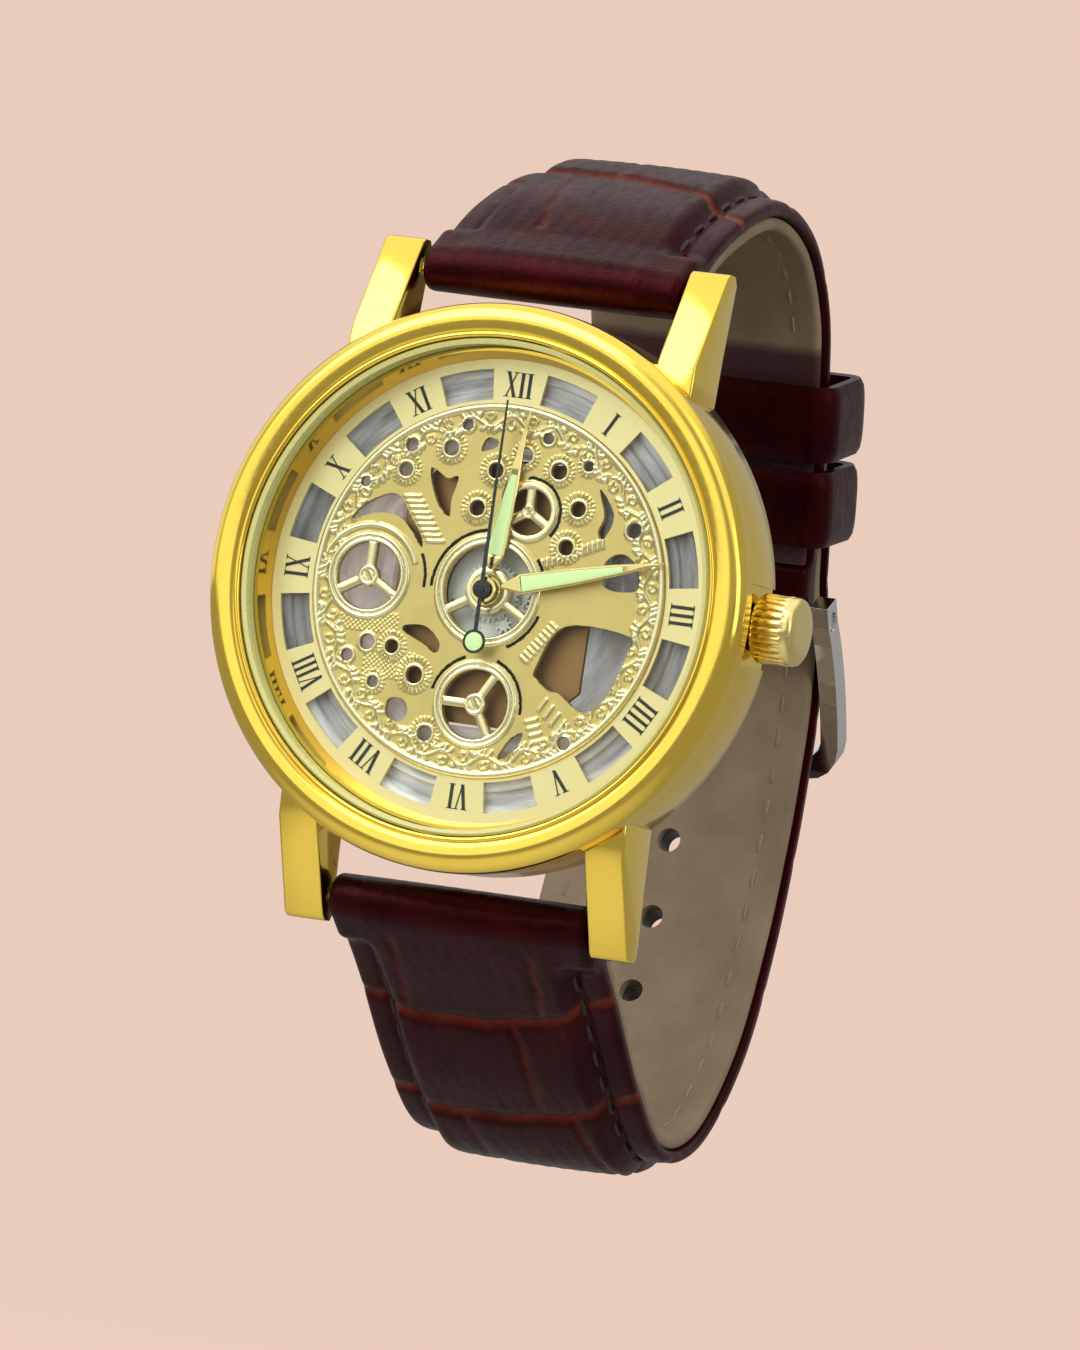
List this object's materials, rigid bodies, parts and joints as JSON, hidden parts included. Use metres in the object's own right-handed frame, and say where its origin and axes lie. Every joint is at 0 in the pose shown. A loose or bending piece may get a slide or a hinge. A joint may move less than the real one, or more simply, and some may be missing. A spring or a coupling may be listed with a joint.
{
  "type": "wristwatch",
  "caption": "Round wristwatch with a see-through dial, a quartz movement, a fluted crown and a buckled two-piece leather strap.",
  "frame": {"origin": "on the hands' axis, at the outer face of the glass in the case back", "axes": "+X to 3 o'clock, +Z to 12 o'clock, +Y out of the case back towards the wrist; the dial faces -Y"},
  "size_m": [0.0433, 0.0536, 0.0718],
  "materials": {
    "polished_gold": "mirror-polished gold plating",
    "dial_gold": "stamped, fine matt champagne gold",
    "hand_gold": "polished gold plating",
    "black_lacquer": "black lacquer",
    "crystal_glass": "clear polished glass",
    "clear_plastic": "clear moulded plastic",
    "nylon": "pale translucent nylon",
    "rubber": "black rubber",
    "steel": "fine satin",
    "buckle_steel": "polished silver tone",
    "movement_brass": "satin brass with a copper tint",
    "white_plastic": "white moulded plastic",
    "copper_wire": "enamelled copper wire",
    "cell_steel": "nickel-plated steel",
    "board": "green printed circuit board",
    "maroon_leather": "crocodile-embossed dark maroon leather, semi-gloss",
    "taupe_lining": "smooth taupe lining leather"
  },
  "bodies": {
    "case": {"mid_case": "polished_gold", "bezel": "polished_gold", "crystal": "crystal_glass", "crystal_gasket": "nylon", "rehaut_ring": "polished_gold", "dial": "dial_gold", "case_back": "polished_gold", "case_back_glass": "crystal_glass", "case_back_gasket": "rubber", "crown_tube": "steel", "main_plate": "movement_brass", "train_bridge": "steel", "circuit_board": "board", "movement_holder": "clear_plastic", "quartz_can": "cell_steel", "coil": "copper_wire", "coil_core": "steel", "stator": "steel", "battery": "cell_steel", "battery_clip": "movement_brass", "spring_bar_12": "steel", "spring_bar_6": "steel"},
    "seconds_arbor": {"fourth_wheel": "movement_brass", "seconds_hand": "black_lacquer"},
    "third_arbor": {"third_wheel": "movement_brass"},
    "center_arbor": {"center_wheel": "movement_brass"},
    "intermediate_arbor": {"intermediate_wheel": "steel"},
    "rotor_arbor": {"rotor": "cell_steel"},
    "minute_arbor": {"cannon_pinion": "steel", "minute_hand": "hand_gold"},
    "minute_wheel_arbor": {"minute_wheel": "white_plastic"},
    "hour_arbor": {"hour_wheel": "white_plastic", "hour_hand": "hand_gold"},
    "setting_arbor": {"setting_wheel": "steel"},
    "clutch": {"clutch_pinion": "steel"},
    "crown_assembly": {"crown": "polished_gold", "winding_stem": "steel", "crown_gasket": "rubber"},
    "lever": {"setting_lever": "steel"},
    "strap_12": {"strap_short_leather": "maroon_leather", "strap_short_lining": "taupe_lining", "keeper_fixed": "maroon_leather"},
    "loose_keeper": {"keeper_free": "maroon_leather"},
    "strap_6": {"strap_long_leather": "maroon_leather", "strap_long_lining": "taupe_lining"},
    "buckle": {"buckle_frame": "buckle_steel", "buckle_bar": "buckle_steel"},
    "tongue": {"buckle_tongue": "buckle_steel"},
    "bar_12_tip_left": {"spring_bar_12_tip_left": "steel"},
    "bar_12_tip_right": {"spring_bar_12_tip_right": "steel"},
    "bar_6_tip_left": {"spring_bar_6_tip_left": "steel"},
    "bar_6_tip_right": {"spring_bar_6_tip_right": "steel"}
  },
  "joints": [
    {"name": "seconds_turn", "type": "hinge", "parent": "case", "child": "seconds_arbor", "pos_m": [0, -0.003, 0], "axis": [0, 1, 0], "continuous": true},
    {"name": "third_turn", "type": "hinge", "parent": "case", "child": "third_arbor", "pos_m": [-0.00301, -0.003, -0.00109], "axis": [0, 1, 0], "continuous": true},
    {"name": "center_turn", "type": "hinge", "parent": "case", "child": "center_arbor", "pos_m": [0, -0.003, 0], "axis": [0, 1, 0], "continuous": true},
    {"name": "intermediate_turn", "type": "hinge", "parent": "case", "child": "intermediate_arbor", "pos_m": [0.0012, -0.003, 0.00208], "axis": [0, 1, 0], "continuous": true},
    {"name": "rotor_turn", "type": "hinge", "parent": "case", "child": "rotor_arbor", "pos_m": [0.00169, -0.003, 0.00391], "axis": [0, 1, 0], "continuous": true},
    {"name": "minute_turn", "type": "hinge", "parent": "case", "child": "minute_arbor", "pos_m": [0, -0.003, 0], "axis": [0, 1, 0], "continuous": true},
    {"name": "minute_wheel_turn", "type": "hinge", "parent": "case", "child": "minute_wheel_arbor", "pos_m": [0.0013, -0.003, -0.00225], "axis": [0, 1, 0], "continuous": true},
    {"name": "hour_turn", "type": "hinge", "parent": "case", "child": "hour_arbor", "pos_m": [0, -0.003, 0], "axis": [0, 1, 0], "continuous": true},
    {"name": "setting_wheel_turn", "type": "hinge", "parent": "case", "child": "setting_arbor", "pos_m": [0.00395, -0.003, -0.0006], "axis": [0, 1, 0], "continuous": true},
    {"name": "crown_turn", "type": "hinge", "parent": "case", "child": "clutch", "pos_m": [0.02, -0.0028, 0], "axis": [1, 0, 0], "continuous": true},
    {"name": "crown_pull", "type": "slide", "parent": "clutch", "child": "crown_assembly", "axis": [1, 0, 0], "range_m": [0, 0.0009]},
    {"name": "setting_lever_turn", "type": "hinge", "parent": "case", "child": "lever", "pos_m": [0.00685, -0.0022, 0.002], "axis": [0, -1, 0], "range_deg": [0, 26]},
    {"name": "strap_12_swing", "type": "hinge", "parent": "case", "child": "strap_12", "pos_m": [0, -0.0007, 0.0227], "axis": [1, 0, 0], "range_deg": [0, 80], "stiffness_Nm_per_rad": 0.02},
    {"name": "strap_6_swing", "type": "hinge", "parent": "case", "child": "strap_6", "pos_m": [0, -0.0007, -0.0227], "axis": [-1, 0, 0], "range_deg": [0, 80], "stiffness_Nm_per_rad": 0.02, "deforming": ["strap_long_leather", "strap_long_lining"]},
    {"name": "keeper_slide", "type": "hinge", "parent": "strap_12", "child": "loose_keeper", "pos_m": [0, 0.00072, 0.00883], "axis": [1, 0, 0], "range_deg": [0, 7]},
    {"name": "buckle_swing", "type": "hinge", "parent": "strap_12", "child": "buckle", "pos_m": [0, 0.0364, 0.0032], "axis": [1, 0, 0], "range_deg": [0, 25]},
    {"name": "tongue_swing", "type": "hinge", "parent": "buckle", "child": "tongue", "pos_m": [0, 0.0364, 0.0032], "axis": [1, 0, 0], "range_deg": [0, 40]},
    {"name": "spring_bar_12_tip_left_slide", "type": "slide", "parent": "case", "child": "bar_12_tip_left", "axis": [1, 0, 0], "range_m": [0, 0.00115], "stiffness_N_per_m": 10},
    {"name": "spring_bar_12_tip_right_slide", "type": "slide", "parent": "case", "child": "bar_12_tip_right", "axis": [-1, 0, 0], "range_m": [0, 0.00115], "stiffness_N_per_m": 10},
    {"name": "spring_bar_6_tip_left_slide", "type": "slide", "parent": "case", "child": "bar_6_tip_left", "axis": [1, 0, 0], "range_m": [0, 0.00115], "stiffness_N_per_m": 10},
    {"name": "spring_bar_6_tip_right_slide", "type": "slide", "parent": "case", "child": "bar_6_tip_right", "axis": [-1, 0, 0], "range_m": [0, 0.00115], "stiffness_N_per_m": 10}
  ],
  "couplings": [
    {"joint": "third_turn", "follows": "seconds_turn", "ratio": -0.13333},
    {"joint": "center_turn", "follows": "seconds_turn", "ratio": 0.016667},
    {"joint": "intermediate_turn", "follows": "seconds_turn", "ratio": -5},
    {"joint": "rotor_turn", "follows": "seconds_turn", "ratio": 30},
    {"joint": "minute_wheel_turn", "follows": "minute_turn", "ratio": -0.33333},
    {"joint": "hour_turn", "follows": "minute_turn", "ratio": 0.083333},
    {"joint": "setting_wheel_turn", "follows": "minute_turn", "ratio": 0.55556},
    {"joint": "crown_turn", "follows": "minute_turn", "ratio": 1},
    {"joint": "setting_lever_turn", "follows": "crown_pull", "rad_per_m": 500}
  ]
}
